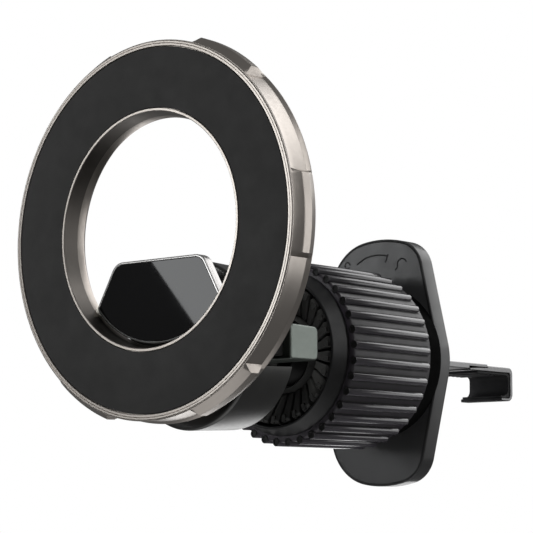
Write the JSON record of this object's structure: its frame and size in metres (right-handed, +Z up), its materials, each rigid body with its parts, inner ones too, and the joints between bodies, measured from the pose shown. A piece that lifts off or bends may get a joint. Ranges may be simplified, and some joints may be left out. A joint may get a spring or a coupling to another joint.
{
  "type": "car phone mount",
  "caption": "Magnetic ring head on a ball joint with a fluted tightening knob and a hook that clamps a car air vent's blade.",
  "frame": {"origin": "centre of the rear contact face that rests on the vent, on the knob's axis", "axes": "+Y to the rear, into the vent along the hook; +Z up; +X to the right seen from the front"},
  "size_m": [0.06, 0.0908, 0.0674],
  "materials": {
    "ring_metal": "satin nickel",
    "pad_rubber": "matte",
    "magnet": "nickel plated",
    "steel": "brushed",
    "cover_plastic": "fine texture",
    "bezel_metal": "satin",
    "panel_glass": "mirror gloss",
    "hub_metal": "dark satin",
    "yoke_metal": "grey green satin",
    "ball_steel": "dark satin",
    "pom": "moulded",
    "collet_plastic": "fine texture",
    "knob_plastic": "satin moulded",
    "brass": "turned",
    "plate_plastic": "satin moulded",
    "hook_metal": "satin",
    "boot_rubber": "matte"
  },
  "bodies": {
    "base": {"base_plate": "plate_plastic", "rear_pad": "boot_rubber", "housing": "collet_plastic", "housing_screws": "steel", "collet_ring": "collet_plastic", "disc_spring": "steel", "preload_plug": "brass", "retainer_ring": "steel", "thrust_washer": "pom"},
    "knob": {"knob_shell": "knob_plastic", "knob_lip": "knob_plastic", "knob_thread_sleeve": "brass"},
    "hook": {"traveller": "brass", "shank_pin": "steel", "hook_shank": "hook_metal", "hook_strip": "hook_metal", "hook_rivets": "steel", "hook_boot": "boot_rubber"},
    "ball_cup": {"ball_seat": "collet_plastic"},
    "ball_shell": {"ball_liner": "pom"},
    "head": {"ball_stem": "ball_steel", "stem_yoke": "yoke_metal", "yoke_cross_pin": "steel", "hub_shell": "hub_metal", "hub_rear_cap": "collet_plastic", "hub_screws": "steel", "neck_bracket": "hub_metal", "panel_bezel": "bezel_metal", "panel_glass": "panel_glass", "hinge_pin_left": "steel", "hinge_pin_right": "steel", "hinge_washers": "pom"},
    "ring": {"ring_frame": "ring_metal", "ring_pad": "pad_rubber", "ring_magnets": "magnet", "ring_shunt": "steel", "ring_back_cover": "cover_plastic", "ring_back_screws": "steel"}
  },
  "joints": [
    {"name": "knob_turn", "type": "hinge", "parent": "base", "child": "knob", "pos_m": [0, -0.0191, 0], "axis": [0, 1, 0], "range_deg": [-60, 360]},
    {"name": "hook_slide", "type": "slide", "parent": "base", "child": "hook", "axis": [0, 1, 0], "range_m": [-0.0061, 0.0011]},
    {"name": "ball_roll", "type": "hinge", "parent": "base", "child": "ball_cup", "pos_m": [0, -0.0251, 0], "axis": [0, 1, 0], "continuous": true},
    {"name": "ball_tilt", "type": "hinge", "parent": "ball_cup", "child": "ball_shell", "pos_m": [0, -0.0251, 0], "axis": [1, 0, 0], "range_deg": [-15, 15]},
    {"name": "ball_yaw", "type": "hinge", "parent": "ball_shell", "child": "head", "pos_m": [0, -0.0251, 0], "axis": [0, 0, 1], "range_deg": [-10, 10]},
    {"name": "ring_fold", "type": "hinge", "parent": "head", "child": "ring", "pos_m": [0, -0.05805, 0.0055], "axis": [1, 0, 0], "range_deg": [-30, 12]}
  ],
  "couplings": [
    {"joint": "hook_slide", "follows": "knob_turn", "m_per_rad": -0.00095493}
  ]
}
